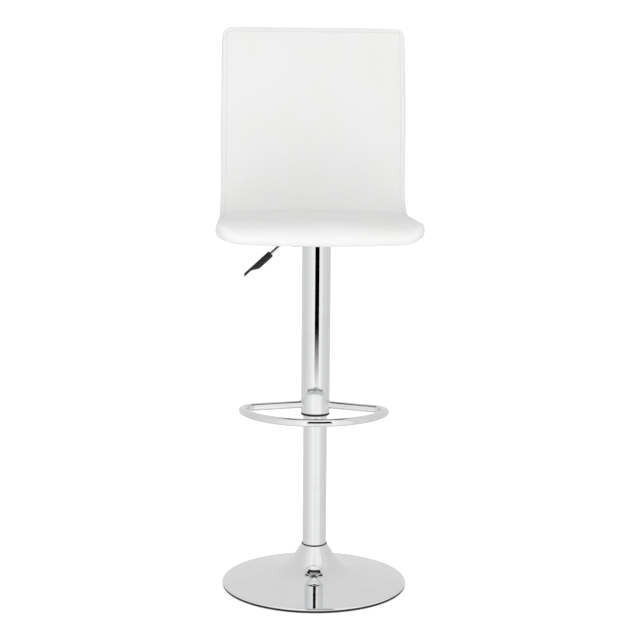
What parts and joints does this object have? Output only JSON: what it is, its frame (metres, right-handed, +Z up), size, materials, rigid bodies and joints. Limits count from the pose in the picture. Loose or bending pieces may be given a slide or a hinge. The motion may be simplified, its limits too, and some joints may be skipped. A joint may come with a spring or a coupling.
{
  "type": "adjustable swivel bar stool",
  "caption": "High-back swivel bar stool: one-piece padded seat on a telescoping chrome gas-lift column with a looped footrest, release lever and round trumpet base.",
  "frame": {"origin": "column axis at floor level, the centre of the rubber edging's underside", "axes": "+Z up along the column; the sitter faces -Y; the release lever is on the -X side"},
  "size_m": [0.412, 0.4412, 1.177],
  "materials": {
    "chrome": "polished",
    "black_plastic": "satin",
    "rubber": "matte",
    "plated_steel": "satin",
    "bearing_steel": "satin",
    "black_steel": "satin",
    "cast_iron": "matte",
    "upholstery": "satin",
    "foam": "matte",
    "plywood": "matte"
  },
  "bodies": {
    "base": {"base_shell": "chrome", "base_plate": "plated_steel", "base_weight": "cast_iron", "floor_ring": "rubber", "base_socket": "plated_steel", "base_bolt_1": "plated_steel", "base_bolt_2": "plated_steel", "base_bolt_3": "plated_steel", "base_bolt_4": "plated_steel", "neck_ring": "black_plastic", "lower_column": "chrome", "column_floor": "plated_steel", "guide_bush": "black_plastic", "lower_race": "bearing_steel"},
    "bearing_cage": {"ball_cage": "black_plastic", "bearing_balls": "bearing_steel"},
    "spindle": {"upper_race": "bearing_steel", "bump_stop": "rubber", "piston_rod": "bearing_steel", "piston": "bearing_steel", "rod_washer": "plated_steel", "rod_clip": "plated_steel"},
    "seat": {"gas_cylinder": "black_steel", "rod_guide": "black_plastic", "valve_block": "bearing_steel", "upper_column": "chrome", "column_end_ring": "black_plastic", "column_collar": "plated_steel", "footrest_loop": "chrome", "seat_plate": "plated_steel", "taper_socket": "plated_steel", "lever_bracket": "plated_steel", "lever_pin": "plated_steel", "seat_bolt_1": "plated_steel", "seat_bolt_2": "plated_steel", "seat_bolt_3": "plated_steel", "seat_bolt_4": "plated_steel", "seat_washer_1": "plated_steel", "seat_washer_2": "plated_steel", "seat_washer_3": "plated_steel", "seat_washer_4": "plated_steel", "tee_nut_1": "plated_steel", "tee_nut_2": "plated_steel", "tee_nut_3": "plated_steel", "tee_nut_4": "plated_steel", "seat_core": "plywood", "seat_foam": "foam", "seat_cover": "upholstery"},
    "lever": {"lever_rod": "chrome", "lever_grip": "black_plastic"},
    "valve_pin": {"release_pin": "bearing_steel"}
  },
  "joints": [
    {"name": "seat_swivel", "type": "hinge", "parent": "base", "child": "spindle", "pos_m": [0, 0, 0.03], "axis": [0, 0, 1], "continuous": true},
    {"name": "bearing_roll", "type": "hinge", "parent": "base", "child": "bearing_cage", "pos_m": [0, 0, 0.03], "axis": [0, 0, 1], "continuous": true},
    {"name": "seat_lift", "type": "slide", "parent": "spindle", "child": "seat", "axis": [0, 0, 1], "range_m": [-0.21, 0]},
    {"name": "lever_pull", "type": "hinge", "parent": "seat", "child": "lever", "pos_m": [-0.03, 0, 0.7338], "axis": [0, 1, 0], "range_deg": [0, 6], "stiffness_Nm_per_rad": 4},
    {"name": "valve_press", "type": "slide", "parent": "seat", "child": "valve_pin", "axis": [0, 0, 1], "range_m": [-0.0034, 0]}
  ],
  "couplings": [
    {"joint": "bearing_roll", "follows": "seat_swivel", "ratio": 0.5},
    {"joint": "valve_press", "follows": "lever_pull", "m_per_rad": -0.0306}
  ]
}
